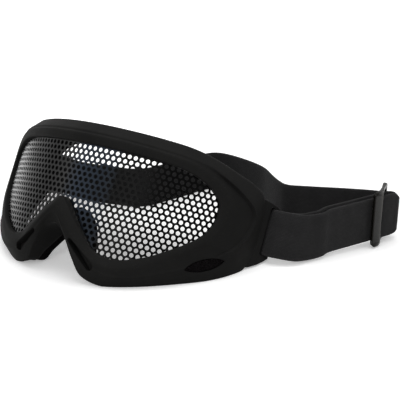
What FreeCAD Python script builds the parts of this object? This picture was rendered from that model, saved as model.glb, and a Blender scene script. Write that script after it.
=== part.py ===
"""Mesh eye guard: a moulded frame, a perforated steel lens, foams, an elastic strap and its slider.

Goggle axes: x to the wearer's left, y back towards the face, z up along the lens.
The goggles are leant back on their lower edge and the strap stands on its edge beside them.
"""
import FreeCAD, Part
import math
import os

V = FreeCAD.Vector

# Lens opening and the rim around it
opening_half_arc = 77.4
opening_half_height = 26.6
rim_run = 30.6
rim_rise = 12.8
rim_half_arc = opening_half_arc + rim_run
rim_half_height = opening_half_height + rim_rise
rim_front = 3.4
rim_back = 3.4
band_width = 4.6
lip_round = 0.5
ridge_rise = 1.5
lobe_step = 1.3
lobe_step_run = 1.3

# Plan of the lens: three arcs each side, centre, side and temple
centre_radius = 73.5
side_radius = 115.0
temple_radius = 42.0
centre_half_arc = 0.349 * opening_half_arc
side_arc = 0.698 * opening_half_arc
temple_arc = 22.0

# Lens sheet and its groove
lens_thickness = 0.7
groove_clearance = 0.1
groove_depth = 3.2
lens_edge_clearance = 0.4
rear_lip = 1.8

# Perforation, as cut here: fewer and larger holes than the sheet has
hole_pitch = 5.6
hole_across = 3.8
hole_margin = 0.9
hole_sides = 6

# Face flange behind the skirt
face_half_width = 74.5
face_depth = 65.0
face_half_height = 40.5
flange_width = 8.5
flange_thickness = 2.6
skirt_wall = 2.6
full_hollow = 8.0

# Face foam
foam_thickness = 7.0
foam_inset = 0.8
foam_width = 6.5
foam_round = 1.2
foam_gap = 0.15

# Stance: the goggles lean back on their lower edge, which is trimmed flat where it rests
lean_deg = 30.0
lens_height = 40.0

# Ears that hold the strap
ear_overlap = 12.0
ear_reach = 2.6
ear_start_arc = rim_half_arc - ear_overlap
ear_slot_arc = rim_half_arc + ear_reach
ear_thickness = 3.0
ear_front = 0.8
ear_slot_gap = 4.4
ear_bar_width = 3.6
ear_bar_round = 1.0
ear_middle = 9.0
slot_half_height = 13.2

# Vents and nose slots
vent_arc = 0.727 * rim_half_arc
vent_height = -0.4365 * rim_half_height
vent_half_length = 11.0
vent_half_width = 3.0
vent_tilt_deg = 26.0
brow_vent_centre = 0.3056 * rim_half_arc
brow_vent_back = 0.292 * face_depth
brow_vent_half_length = 13.0
brow_vent_half_width = 3.4
brow_vent_turn_deg = 19.0
brow_foam_height = 36.6
vent_foam_thickness = 2.4
nose_slot_low_x = 0.215 * rim_half_arc
nose_slot_low_z = -0.835 * rim_half_height
nose_slot_high_x = 0.112 * rim_half_arc
nose_slot_high_z = -0.590 * rim_half_height
nose_slot_low_width = 5.0
nose_slot_high_width = 1.8
nose_slot_low_floor = 5.0
nose_slot_high_floor = 0.6

# Strap
strap_width = 25.0
strap_thickness = 1.5
layer_offset = 2.0
strap_wrap_gap = 0.5
tail_length = 3.2
loop_span_deg = 260.0
near_loop_start_deg = 400.0
far_loop_start_deg = -50.0

# Slider
slider_height = 32.0
slider_bar = 2.4
slider_thickness = 1.6
slider_bar_round = 0.5
slider_corner = 2.2
slider_pitch = 5.4
slider_offset = 4.1
slider_rail = 2.4
slider_gap = 0.4
slider_place = 37.0

overrun = 60.0
hair = 0.05

# Places round the right half of the frame, from the brow's middle to the nose, as shares.
# Lens opening: arc share of opening_half_arc, height share of opening_half_height
opening_shares = [
    (0.000, 1.000), (0.260, 1.000), (0.495, 1.000), (0.670, 0.978), (0.805, 0.900),
    (0.915, 0.760), (0.982, 0.580), (1.000, 0.395), (0.990, 0.140), (0.945, -0.110),
    (0.865, -0.335), (0.745, -0.580), (0.628, -0.795), (0.480, -0.972), (0.368, -1.000),
    (0.278, -0.905), (0.180, -0.675), (0.092, -0.450), (0.034, -0.210), (0.000, -0.100)]
# Shoulder of the rim, which runs out round the temple lobe: shares of rim_half_arc, rim_half_height
shoulder_shares = [
    (0.000, 0.850), (0.190, 0.850), (0.370, 0.845), (0.509, 0.827), (0.615, 0.780),
    (0.708, 0.686), (0.801, 0.569), (0.884, 0.431), (0.912, 0.260), (0.872, -0.010),
    (0.797, -0.223), (0.690, -0.430), (0.550, -0.650), (0.394, -0.838), (0.275, -0.868),
    (0.192, -0.800), (0.124, -0.640), (0.066, -0.450), (0.027, -0.310), (0.000, -0.270)]
# Outer edge of the rim, same shares
edge_shares = [
    (0.000, 0.985), (0.194, 0.985), (0.389, 0.985), (0.537, 0.972), (0.665, 0.912),
    (0.785, 0.828), (0.893, 0.762), (0.981, 0.640), (1.012, 0.220), (0.996, -0.190),
    (0.935, -0.410), (0.798, -0.575), (0.640, -0.765), (0.426, -0.960), (0.285, -1.055),
    (0.170, -0.990), (0.115, -0.800), (0.068, -0.605), (0.031, -0.485), (0.000, -0.435)]
# How far the lobe's step shows at each place, and how far the nose ridge rises
step_shares = [0, 0, 0, 0, 0.1, 0.8, 1, 1, 1, 1, 0.8, 0.3, 0, 0, 0, 0, 0, 0, 0, 0]
ridge_shares = [0, 0, 0, 0, 0, 0, 0, 0, 0, 0, 0, 0, 0, 0, 0, 0.1, 0.5, 0.9, 1, 1]
# How far behind the lens the outer edge sits: least at the temples, where it runs out into the ears
edge_back_shares = [1, 1, 1, 1, 0.95, 0.8, 0.55, 0.3, 0.2, 0.3, 0.55, 0.85, 1, 1, 1, 1, 1, 1, 1, 1]
# Face flange: shares of face_half_width, face_depth, face_half_height
face_shares = [
    (0.000, 0.508, 1.000), (0.268, 0.546, 1.000), (0.510, 0.631, 0.988), (0.698, 0.738, 0.938),
    (0.819, 0.831, 0.864), (0.913, 0.908, 0.753), (0.966, 0.962, 0.617), (0.993, 0.992, 0.444),
    (1.000, 1.000, 0.200), (0.993, 0.945, -0.050), (0.962, 0.820, -0.260), (0.880, 0.660, -0.480),
    (0.738, 0.475, -0.660), (0.560, 0.305, -0.790), (0.370, 0.180, -0.880), (0.242, 0.138, -0.905),
    (0.166, 0.158, -0.780), (0.107, 0.195, -0.580), (0.052, 0.222, -0.405), (0.000, 0.230, -0.325)]
ear_bends = 4
quarter_turn = 90.0
steps_between = 3
fine_steps = 4
oval_steps = 6
strap_steps = 2
straight_steps = 3
loop_steps = 10
loop_rows = 3
near_run_rows = 7
middle_run_end = 15

# Strap route on the table: x, y and height of its lower edge as shares of route_span, chosen by
# eye, and how much of the ears' lean the strap still has there, from 1 down to 0. It was drawn for
# ear bars at bar_home_share, and moves with them
route_span = 100.0
bar_home_share = (0.8326, 0.6808)
near_shares = [
    (0.885, 0.571, 0.030, 0.95), (0.940, 0.594, 0.024, 0.72), (0.980, 0.634, 0.014, 0.55),
    (1.024, 0.708, 0.010, 0.25), (1.056, 0.768, 0.014, 0.05), (1.074, 0.822, 0.022, 0.0)]
straight_end_share = (1.2605, 1.168, 0.034, 0.0)
fold_shares = [
    (1.298, 1.196, 0.034, 0.0), (1.311, 1.222, 0.030, 0.0), (1.300, 1.252, 0.024, 0.0),
    (1.256, 1.268, 0.014, 0.0), (1.198, 1.266, 0.004, 0.0)]
far_shares = [
    (1.110, 1.248, 0.001, 0.0), (0.978, 1.198, 0.0005, 0.0), (0.800, 1.122, 0.0005, 0.0),
    (0.700, 1.088, 0.0005, 0.0), (0.630, 1.118, 0.0005, 0.0), (0.540, 1.195, 0.0005, 0.0),
    (0.445, 1.285, 0.0005, 0.0), (0.346, 1.341, 0.0005, 0.0), (0.220, 1.385, 0.0005, 0.0),
    (0.095, 1.410, 0.0005, 0.0), (0.015, 1.392, 0.0005, 0.0), (-0.035, 1.310, 0.0005, 0.0),
    (-0.068, 1.190, 0.0005, 0.0), (-0.115, 1.040, 0.0005, 0.0), (-0.158, 0.915, 0.0005, 0.0),
    (-0.230, 0.842, 0.001, 0.0), (-0.340, 0.808, 0.003, 0.0), (-0.450, 0.778, 0.006, 0.0),
    (-0.555, 0.762, 0.008, 0.0), (-0.655, 0.775, 0.008, 0.0)]
seam_shares = [
    (-0.740, 0.782, 0.008, 0.12), (-0.800, 0.752, 0.009, 0.4), (-0.832, 0.700, 0.011, 0.75)]


def plan(arc, back=0.0):
    """Point on the lens plan at a distance along it, moved back square to it, and its heading."""
    side = 1.0 if arc >= 0 else -1.0
    left = abs(arc)
    heading, x, y = 0.0, 0.0, 0.0
    for radius, length in ((centre_radius, centre_half_arc), (side_radius, side_arc), (temple_radius, temple_arc)):
        run = min(left, length)
        turned = heading + run / radius
        x += radius * (math.sin(turned) - math.sin(heading))
        y += radius * (math.cos(heading) - math.cos(turned))
        heading = turned
        left -= run
    x += left * math.cos(heading)
    y += left * math.sin(heading)
    return side * (x - back * math.sin(heading)), y + back * math.cos(heading), side * heading


def wrapped(arc, height, back):
    x, y, _ = plan(arc, back)
    return V(x, y, height)


def lean(shape):
    """Stand goggle geometry on the table, leant back on its lower edge."""
    stood = shape.copy()
    stood.rotate(V(0, 0, 0), V(1, 0, 0), -lean_deg)
    stood.translate(V(0, 0, lens_height))
    return stood


def lean_point(point):
    angle = math.radians(lean_deg)
    return V(point.x, point.y * math.cos(angle) + point.z * math.sin(angle),
             lens_height - point.y * math.sin(angle) + point.z * math.cos(angle))


def blend(rows, t):
    """Point at share t between the middle two of four rows, on a smooth curve through them."""
    return tuple(
        0.5 * (2 * q + (r - p) * t + (2 * p - 5 * q + 4 * r - s) * t * t + (3 * q - p - 3 * r + s) * t ** 3)
        for p, q, r, s in zip(*rows))


def between(rows, steps):
    """A closed smooth run through the rows, with the given steps from each to the next."""
    count = len(rows)
    return [blend([rows[(i + k - 1) % count] for k in range(4)], step / steps)
            for i in range(count) for step in range(steps)]


def frame_places():
    """Every place round the frame: opening, shoulder, edge and flange points with the step and ridge."""
    rows = []
    for i in range(len(opening_shares)):
        o, s, e, f = opening_shares[i], shoulder_shares[i], edge_shares[i], face_shares[i]
        rows.append((
            o[0] * opening_half_arc, o[1] * opening_half_height,
            s[0] * rim_half_arc, s[1] * rim_half_height,
            e[0] * rim_half_arc, e[1] * rim_half_height,
            f[0] * face_half_width, f[1] * face_depth, f[2] * face_half_height,
            step_shares[i], ridge_shares[i], edge_back_shares[i]))

    def flipped(row):
        return (-row[0], row[1], -row[2], row[3], -row[4], row[5], -row[6]) + row[7:]
    closed = rows + [flipped(row) for row in rows[-2:0:-1]]
    return between(closed, steps_between)


def flange_in(place):
    """Direction from the flange's outer edge to its inner edge, square to the face run."""
    opening = wrapped(place[0], place[1], 0)
    shoulder = wrapped(place[2], place[3], 0)
    way = opening - shoulder
    way.y = 0
    way.normalize()
    slope = way.x * (1 if place[6] > 0 else -1) * abs(place[6]) / face_half_width
    way.y = slope
    way.normalize()
    return way


def frame_section(place):
    """One closed outline of the frame: groove, rear lip, hollow, flange, skirt, rim, lobe step, lip."""
    o_arc, o_up, s_arc, s_up, e_arc, e_up, fx, fy, fz, step, ridge, edge_back = place
    reach = math.hypot(s_arc - o_arc, s_up - o_up)
    along, up = (s_arc - o_arc) / reach, (s_up - o_up) / reach
    rim = math.hypot(e_arc - o_arc, e_up - o_up)

    def at(out, back):
        return wrapped(o_arc + along * out, o_up + up * out, back)
    half_groove = lens_thickness / 2 + groove_clearance
    rise = rim_front + ridge * ridge_rise
    flange = V(fx, fy, fz)
    way = flange_in(place)
    back = V(0, 1, 0)
    inner = flange + way * flange_width
    neck = flange + way * (flange_width - skirt_wall) - back * flange_thickness
    deep = min(1, max(0, (neck.y - at(rim, rim_back).y) / full_hollow))
    hollow = (rim - 2 * skirt_wall) * (1 + deep) / 2
    return [
        at(0, -half_groove), at(groove_depth, -half_groove), at(groove_depth, half_groove), at(0, half_groove),
        at(lip_round, half_groove + rear_lip), at(hollow, rim_back),
        neck, inner - back * flange_thickness / 2, inner, flange, flange - back * flange_thickness,
        wrapped(e_arc, e_up, rim_back * edge_back),
        wrapped(s_arc + along * lobe_step_run, s_up + up * lobe_step_run, -rim_front + lobe_step * (1 - step * 0.1)),
        wrapped(s_arc, s_up, -rim_front + lobe_step * (1 + step * 1.3)),
        at(band_width, -rise), at(lip_round, -rise + lip_round), at(0, -rise + 2 * lip_round)]


def facets(first, second):
    """Flat three-sided faces that join two outlines with as many points each."""
    faces = []
    for i in range(len(first)):
        j = (i + 1) % len(first)
        for corners in ((first[i], first[j], second[i]), (first[j], second[j], second[i])):
            faces.append(Part.Face(Part.makePolygon(list(corners) + [corners[0]])))
    return faces


def closed_solid(faces):
    shell = Part.Compound(faces)
    shell.sewShape()
    solid = Part.Solid(Part.Shell(shell.Faces))
    if solid.Volume < 0:
        solid.reverse()
    return solid


def ring_loft(sections):
    """Faceted loft through closed outlines and back to the first one."""
    faces = []
    for first, second in zip(sections, sections[1:] + sections[:1]):
        faces += facets(first, second)
    return closed_solid(faces)


def run_loft(sections):
    """Faceted loft through closed outlines, with a flat face at each end."""
    faces = [Part.Face(Part.makePolygon(end + [end[0]])) for end in (sections[0], sections[-1])]
    for first, second in zip(sections, sections[1:]):
        faces += facets(first, second)
    return closed_solid(faces)


def mirrored(shape):
    return shape.mirror(V(0, 0, 0), V(1, 0, 0))


def ear_outline():
    """Side outline of an ear as arc and height, from the rim back to the bar and round again."""
    end = ear_slot_arc + ear_slot_gap + ear_bar_width
    top = ear_middle + slot_half_height + 2 * ear_bar_round
    low = ear_middle - slot_half_height - 2 * ear_bar_round
    return [
        (ear_start_arc, top + 3 * ear_bar_round), (ear_slot_arc - ear_slot_gap * 2, top + 3 * ear_bar_round),
        (ear_slot_arc - ear_slot_gap, top + ear_bar_round), (ear_slot_arc, top),
        (end - 2 * ear_bar_round, top), (end, top - 2 * ear_bar_round), (end, low + 2 * ear_bar_round),
        (end - 2 * ear_bar_round, low), (ear_slot_arc, low - 3 * ear_bar_round),
        (ear_slot_arc - ear_slot_gap, low - 5 * ear_bar_round),
        (ear_slot_arc - ear_slot_gap * 2, low - 7 * ear_bar_round), (ear_start_arc, low - 7 * ear_bar_round)]


def ear():
    """Curved plate behind the temple, with a slot and a round-cornered bar for the strap."""
    end = ear_slot_arc + ear_slot_gap + ear_bar_width
    bend_end = centre_half_arc + side_arc + temple_arc
    step = (bend_end - ear_start_arc) / ear_bends
    arcs = [ear_start_arc + step * k for k in range(ear_bends + 1)] + [end]
    outer = [wrapped(arc, -overrun, -ear_front) for arc in arcs]
    inner = [wrapped(arc, -overrun, ear_thickness - ear_front) for arc in reversed(arcs)]
    plate = Part.Face(Part.makePolygon(outer + inner + [outer[0]])).extrude(V(0, 0, 2 * overrun))
    outline = [V(0, plan(arc)[1], up) for arc, up in ear_outline()]
    prism = Part.Face(Part.makePolygon(outline + [outline[0]])).extrude(V(2 * overrun, 0, 0))
    blank = plate.common(prism)
    gap = Part.makeBox(2 * ear_slot_gap + ear_bar_width, 2 * overrun, 2 * slot_half_height,
                       V(0, -overrun, ear_middle - slot_half_height))
    gap.rotate(V(0, 0, 0), V(0, 0, 1), math.degrees(plan(ear_slot_arc)[2]))
    gap.translate(wrapped(ear_slot_arc, 0, 0))
    return blank.cut(gap).fuse(ear_bar())


def ear_bar():
    """Upright bar of rounded section that closes the slot at the ear's end."""
    height = 2 * (slot_half_height + ear_bar_round)
    bar = oval(ear_bar_width / 2, ear_thickness / 2 - hair, height)
    middle = ear_slot_arc + ear_slot_gap + ear_bar_width / 2
    bar.rotate(V(0, 0, 0), V(0, 0, 1), math.degrees(plan(middle)[2]))
    bar.translate(wrapped(middle, ear_middle - height / 2, ear_thickness / 2 - ear_front))
    return bar


def nose_slot():
    """Tapered blind slot on one side of the nose bridge, deeper at its low, wide end."""
    low, high = V(nose_slot_low_x, 0, nose_slot_low_z), V(nose_slot_high_x, 0, nose_slot_high_z)
    run = (low - high).normalize()
    across = V(run.z, 0, -run.x)
    corners = [(high + across * (nose_slot_high_width / 2), nose_slot_high_floor),
               (low + across * (nose_slot_low_width / 2), nose_slot_low_floor),
               (low - across * (nose_slot_low_width / 2), nose_slot_low_floor),
               (high - across * (nose_slot_high_width / 2), nose_slot_high_floor)]
    return run_loft([[V(p.x, -overrun, p.z) for p, _ in corners], [V(p.x, floor, p.z) for p, floor in corners]])


def oval(half_length, half_width, depth):
    """Upright oval plug round the origin, with flat sides."""
    turns = [math.pi * k / oval_steps for k in range(2 * oval_steps)]
    points = [V(half_length * math.cos(a), half_width * math.sin(a), 0) for a in turns]
    return Part.Face(Part.makePolygon(points + [points[0]])).extrude(V(0, 0, depth))


def lower_vent(shrink, front, depth):
    """Oval plug square to the rim at a lower vent, from a distance behind the lens surface."""
    plug = oval(vent_half_length - shrink, vent_half_width - shrink, depth)
    plug.rotate(V(0, 0, 0), V(0, 0, 1), vent_tilt_deg)
    plug.rotate(V(0, 0, 0), V(1, 0, 0), quarter_turn)
    plug.rotate(V(0, 0, 0), V(0, 0, 1), math.degrees(plan(vent_arc)[2]))
    plug.translate(wrapped(vent_arc, vent_height, front + depth))
    return plug


def brow_vent(shrink, low, depth):
    """Oval plug through the top of the skirt."""
    plug = oval(brow_vent_half_length - shrink, brow_vent_half_width - shrink, depth)
    plug.rotate(V(0, 0, 0), V(0, 0, 1), brow_vent_turn_deg)
    plug.translate(V(brow_vent_centre, brow_vent_back, low))
    return plug


def below_table():
    """Slab under the table, in world axes."""
    return Part.makeBox(8 * overrun, 8 * overrun, overrun, V(-4 * overrun, -4 * overrun, -overrun))


def frame():
    ring = ring_loft([frame_section(place) for place in frame_places()])
    holes = [nose_slot(), lower_vent(0, -overrun / 2, overrun), brow_vent(0, 0, overrun)]
    body = ring.fuse([ear(), mirrored(ear())])
    body = body.cut(holes + [mirrored(hole) for hole in holes])
    return lean(body).cut(below_table())


def lens_outline():
    """Outline of the lens sheet, seated in the groove all round, as points of the plan."""
    points = []
    for place in frame_places():
        o_arc, o_up, s_arc, s_up = place[:4]
        reach = math.hypot(s_arc - o_arc, s_up - o_up)
        out = (groove_depth - lens_edge_clearance) / reach
        points.append(wrapped(o_arc + (s_arc - o_arc) * out, o_up + (s_up - o_up) * out, 0))
    return points


def inside(point, outline):
    """True for a point of the plan view inside a closed outline, by counting crossings."""
    crossings = 0
    for a, b in zip(outline, outline[1:] + outline[:1]):
        if (a.z > point.z) != (b.z > point.z):
            crossings += point.x < a.x + (b.x - a.x) * (point.z - a.z) / (b.z - a.z)
    return crossings % 2 == 1


def clear_of(point, outline):
    return min(math.hypot(point.x - a.x, point.z - a.z) for a in outline)


def opening_outline():
    return [wrapped(place[0], place[1], 0) for place in between(frame_places(), fine_steps)]


def mesh_lens():
    """Curved steel sheet with staggered six-sided holes; it is bent along lines through their corners."""
    half = lens_thickness / 2
    count = int(opening_half_arc / hole_pitch * 2) + 2
    arcs = [k * hole_pitch / 2 for k in range(-count, count + 1)]
    bends = [wrapped(arc, -overrun, -half) for arc in arcs] + [wrapped(arc, -overrun, half) for arc in arcs[::-1]]
    sheet = Part.Face(Part.makePolygon(bends + [bends[0]])).extrude(V(0, 0, 2 * overrun))
    outline = [V(p.x, -overrun, p.z) for p in lens_outline()]
    sheet = sheet.common(Part.Face(Part.makePolygon(outline + [outline[0]])).extrude(V(0, 3 * overrun, 0)))
    return lean(sheet.cut(lens_holes()))


def lens_holes():
    """Six-sided cutters in staggered rows, wherever a whole hole fits inside the opening."""
    opening = opening_outline()
    rise = hole_pitch * math.sqrt(3) / 2
    rows = int(opening_half_height / rise)
    columns = int(opening_half_arc / hole_pitch)
    cutters = []
    for row in range(-rows, rows + 1):
        for column in range(-columns - 1, columns + 1):
            arc = (column + (row % 2) / 2) * hole_pitch
            centre = wrapped(arc, row * rise, 0)
            if inside(centre, opening) and clear_of(centre, opening) > hole_across / 2 + hole_margin:
                cutters.append(hole_cutter(arc, row * rise))
    return cutters


def hole_cutter(arc, height):
    turn = 2 * math.pi / hole_sides
    radius = hole_across / 2 / math.cos(turn / 2)
    corners = [V(radius * math.sin(k * turn), 0, radius * math.cos(k * turn)) for k in range(hole_sides + 1)]
    cutter = Part.Face(Part.makePolygon(corners)).extrude(V(0, 4 * lens_thickness, 0))
    cutter.translate(V(0, -2 * lens_thickness, 0))
    cutter.rotate(V(0, 0, 0), V(0, 0, 1), math.degrees(plan(arc)[2]))
    cutter.translate(wrapped(arc, height, 0))
    return cutter


def face_foam():
    """Closed ring of soft foam on the rear of the flange, with rounded rear edges."""
    sections = []
    for place in frame_places():
        flange, way, back = V(*place[6:9]), flange_in(place), V(0, 1, 0)
        outer = flange + way * foam_inset + back * foam_gap
        inner = outer + way * foam_width
        deep, round_off = back * foam_thickness, back * foam_round
        sections.append([outer, inner, inner + deep - round_off, inner + deep - way * foam_round,
                         outer + deep + way * foam_round, outer + deep - round_off])
    return lean(ring_loft(sections)).cut(below_table())


def upright(turn):
    """Direction across the strap's width, with a share of the ears' lean."""
    angle = math.radians(lean_deg) * turn
    return V(0, math.sin(angle), math.cos(angle))


def bar_middle():
    """Middle of the near ear's bar on the table plan."""
    return wrapped(ear_slot_arc + ear_slot_gap + ear_bar_width / 2, 0, 0)


def strap_rows(shares):
    """Strap stations in mm, moved with the ears: point on the lower edge and direction across the width."""
    bar = bar_middle()
    rows = []
    for x, y, z, turn in shares:
        side = max(-1, min(1, x / bar_home_share[0]))
        move = V((bar.x - bar_home_share[0] * route_span) * side, bar.y - bar_home_share[1] * route_span, 0)
        rows.append((V(x, y, z) * route_span + move, upright(turn)))
    return rows


def offset_rows(rows, offset):
    """The rows moved sideways, square to the run and to the width; plus is the outer side of the loop."""
    moved = []
    for i in range(len(rows)):
        before, after = rows[max(i - 1, 0)][0], rows[min(i + 1, len(rows) - 1)][0]
        side = (after - before).cross(rows[i][1])
        side.normalize()
        moved.append((rows[i][0] + side * offset, rows[i][1]))
    return moved


def ear_point(along, out):
    """Point level with the slot's lower end, along the ear from the bar's middle and out from it."""
    arc = ear_slot_arc + ear_slot_gap + ear_bar_width / 2 + along
    point = wrapped(arc, ear_middle - strap_width / 2, ear_thickness / 2 - ear_front - out)
    return lean_point(point)


def bar_loop(start_deg, end_deg, steps):
    """Strap stations round an ear's bar; the angle runs from straight back towards the outside."""
    reach_along = ear_bar_width / 2 + strap_wrap_gap + strap_thickness / 2
    reach_out = ear_thickness / 2 + strap_wrap_gap + strap_thickness / 2
    rows = []
    for k in range(steps + 1):
        angle = math.radians(start_deg + (end_deg - start_deg) * k / steps)
        rows.append((ear_point(reach_along * math.cos(angle), reach_out * math.sin(angle)), upright(1)))
    return rows


def to_far_side(rows):
    return [(V(-p.x, p.y, p.z), across) for p, across in rows]


def band_sections(rows):
    """Outline of the band across its run at each step of the smoothed rows."""
    smooth = open_run([tuple(p) + tuple(w) for p, w in rows], strap_steps)
    sections = []
    for i, row in enumerate(smooth):
        edge, across = V(*row[:3]), V(*row[3:]).normalize()
        before, after = V(*smooth[max(i - 1, 0)][:3]), V(*smooth[min(i + 1, len(smooth) - 1)][:3])
        side = (after - before).cross(across).normalize() * (strap_thickness / 2)
        top = across * strap_width
        sections.append([edge + side, edge + top + side, edge + top - side, edge - side])
    return sections


def open_run(rows, steps):
    """A smooth open run through the rows, with the given steps from each to the next."""
    first = tuple(2 * p - q for p, q in zip(rows[0], rows[1]))
    last = tuple(2 * p - q for p, q in zip(rows[-1], rows[-2]))
    padded = [first] + list(rows) + [last]
    out = []
    for i in range(len(rows) - 1):
        for k in range(steps):
            out.append(blend(padded[i:i + 4], k / steps))
    out.append(tuple(rows[-1]))
    return out


def strap_pieces():
    """The one strap from its free tail to its sewn end, in pieces that meet end to end."""
    near = strap_rows(near_shares)
    end = strap_rows([straight_end_share])[0]
    run = end[0] - near[-1][0]
    doubled = near + [(near[-1][0] + run * (k / straight_steps), near[-1][1]) for k in range(1, straight_steps + 1)]
    outer = offset_rows(doubled, layer_offset)
    inner = offset_rows(doubled, -layer_offset)
    tail = (inner[-1][0] + run.normalize() * tail_length, inner[-1][1])
    near_loop = bar_loop(near_loop_start_deg, near_loop_start_deg - loop_span_deg, loop_steps)
    fold, far = strap_rows(fold_shares), strap_rows(far_shares)
    seam = [far[-1]] + strap_rows(seam_shares)
    second_layer = offset_rows(seam, strap_thickness + hair)[:0:-1]
    far_bar = bar_loop(far_loop_start_deg, far_loop_start_deg - loop_span_deg, loop_steps)
    far_loop = seam[1:] + to_far_side(far_bar) + second_layer
    spans = [
        ("strap_inner_run", [tail] + inner[:0:-1][:-loop_rows]),
        ("strap_near_loop", inner[loop_rows::-1] + near_loop + outer[:loop_rows + 1]),
        ("strap_outer_run", outer[loop_rows + 1:]), ("strap_fold", fold),
        ("strap_far_run_near", far[:near_run_rows]), ("strap_far_run_middle", far[near_run_rows:middle_run_end]),
        ("strap_far_run_far", far[middle_run_end:]), ("strap_far_loop", far_loop)]
    sections = band_sections([row for _, rows in spans for row in rows])
    pieces, first = {}, 0
    for name, rows in spans:
        last = min(first + len(rows) * strap_steps, len(sections) - 1)
        pieces[name] = run_loft(sections[first:last + 1])
        first = last
    return pieces


def slide_line():
    """Start and direction of the straight run that the slider rides on, at the strap's lower edge."""
    start, end = [row[0] for row in strap_rows([near_shares[-1], straight_end_share])]
    return start, (end - start).normalize()


def slider():
    """Three-bar slider: a rounded frame with two windows, turned so that its bars straddle both layers."""
    spacing = math.hypot(slider_pitch, slider_offset)
    length = 2 * spacing + slider_bar
    blank = Part.makeBox(length, slider_thickness, slider_height, V(-length / 2, -slider_thickness / 2, 0))
    corners = [e for e in blank.Edges if abs(e.tangentAt(0).y) > 1 - hair]
    blank = blank.makeChamfer(slider_corner, corners)
    for side in (-1, 1):
        window = Part.makeBox(spacing - slider_bar, 4 * slider_thickness, slider_height - 2 * slider_rail,
                              V(side * spacing / 2 - (spacing - slider_bar) / 2, -2 * slider_thickness, slider_rail))
        blank = blank.cut(window)
    uprights = [e for e in blank.Edges if e.Length > slider_height / 2]
    blank = blank.makeChamfer(slider_bar_round, uprights)
    start, along = slide_line()
    middle = start + along * slider_place
    blank.rotate(V(0, 0, 0), V(0, 0, 1), math.degrees(math.atan2(slider_offset, slider_pitch)))
    blank.rotate(V(0, 0, 0), V(0, 0, 1), math.degrees(math.atan2(along.y, along.x)))
    blank.translate(V(middle.x, middle.y, middle.z - slider_gap - slider_rail))
    return blank


def vent_foams():
    """Open-cell foam plugs, a hair smaller than the vents that hold them."""
    lower = lower_vent(hair, -vent_foam_thickness / 4, vent_foam_thickness)
    upper = brow_vent(hair, brow_foam_height, vent_foam_thickness)
    return {"vent_foam_lower_left": lean(lower), "vent_foam_lower_right": lean(mirrored(lower)),
            "vent_foam_upper_left": lean(upper), "vent_foam_upper_right": lean(mirrored(upper))}


def on_origin(pieces):
    """Move every piece so that the middle of the whole part's footprint is the origin."""
    box = FreeCAD.BoundBox()
    for shape in pieces.values():
        box.add(shape.optimalBoundingBox(False))
    shift = V(-(box.XMin + box.XMax) / 2, -(box.YMin + box.YMax) / 2, -box.ZMin)
    for shape in pieces.values():
        shape.translate(shift)
    return shift


def main():
    os.makedirs("parts", exist_ok=True)
    pieces = {"frame": frame(), "mesh_lens": mesh_lens(), "face_foam": face_foam()}
    pieces.update(vent_foams())
    pieces.update(strap_pieces())
    pieces["slider"] = slider()
    shift = on_origin(pieces)
    start, along = slide_line()
    print("shift", shift, "slider at", start + along * slider_place + shift, "slides along", along)
    for name, shape in pieces.items():
        solid = shape.Solids[0]
        box = solid.optimalBoundingBox(False)
        sides = [round(v, 1) for v in (box.XMin, box.XMax, box.YMin, box.YMax, box.ZMin, box.ZMax)]
        print(name, solid.isValid(), len(shape.Solids), sides)
        solid.exportStep("parts/" + name + ".step")


if __name__ == "__main__":
    main()
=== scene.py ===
"""Looks of the mesh eye guard: moulded frame, perforated steel lens, foams, webbing strap and slider.

Lengths in the tables are millimetres in the goggles' own axes: x to the wearer's left, y back
towards the face, z up along the lens. place() leans them back on the table, in metres.
"""

from math import atan2, cos, exp, hypot, pi, radians, sin, sqrt

import bmesh
import bpy
from mathutils import Matrix, Vector
from mathutils.bvhtree import BVHTree


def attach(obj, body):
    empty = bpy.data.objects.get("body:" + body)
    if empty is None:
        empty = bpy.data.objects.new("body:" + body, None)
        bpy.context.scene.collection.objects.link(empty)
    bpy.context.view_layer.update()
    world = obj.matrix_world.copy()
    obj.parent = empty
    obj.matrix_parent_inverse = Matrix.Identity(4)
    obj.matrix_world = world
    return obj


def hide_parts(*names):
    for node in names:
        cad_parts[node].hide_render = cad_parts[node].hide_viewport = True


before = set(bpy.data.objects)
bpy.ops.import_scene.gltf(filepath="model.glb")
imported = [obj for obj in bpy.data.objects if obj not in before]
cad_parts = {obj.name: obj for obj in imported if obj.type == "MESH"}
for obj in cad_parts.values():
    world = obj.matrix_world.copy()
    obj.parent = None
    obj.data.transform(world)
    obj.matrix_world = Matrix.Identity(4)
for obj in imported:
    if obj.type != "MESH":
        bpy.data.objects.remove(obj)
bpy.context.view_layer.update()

# Stance on the table and the shift that centres the footprint
LEAN = radians(30.0)
LENS_HEIGHT = 40.0
SHIFT = Vector((-22.8793, -63.0615, 0.0))
TABLE_GAP = 0.02

# Plan of the lens: radius and length of three arcs each side
PLAN_ARCS = ((73.5, 27.013), (115.0, 54.025), (42.0, 22.0))

# Frame
OPENING_ARC, OPENING_UP = 77.4, 26.6
RIM_ARC, RIM_UP = 108.0, 39.4
FACE_X, FACE_Y, FACE_Z = 74.5, 65.0, 40.5
RIM_FRONT = 3.4
RIM_BACK = 3.4
BAND_WIDTH = 4.6
LIP_ROUND = 0.5
RIDGE_RISE, RIDGE_SWELL, RIDGE_FOOT = 2.8, 2.0, 0.7
LOBE_STEP = 1.3
LOBE_STEP_RUN = 0.9
CREASE_TIGHT, CREASE_SOFTER = 0.15, 1.6
FLANK_ROWS = 4
WALL = 2.6
FLANGE_WIDTH = 8.5
FULL_HOLLOW = 8.0
LENS_THICKNESS = 0.7
GROOVE_DEPTH = 3.2
HALF_GROOVE = 0.45
REAR_LIP = 1.8

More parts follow.
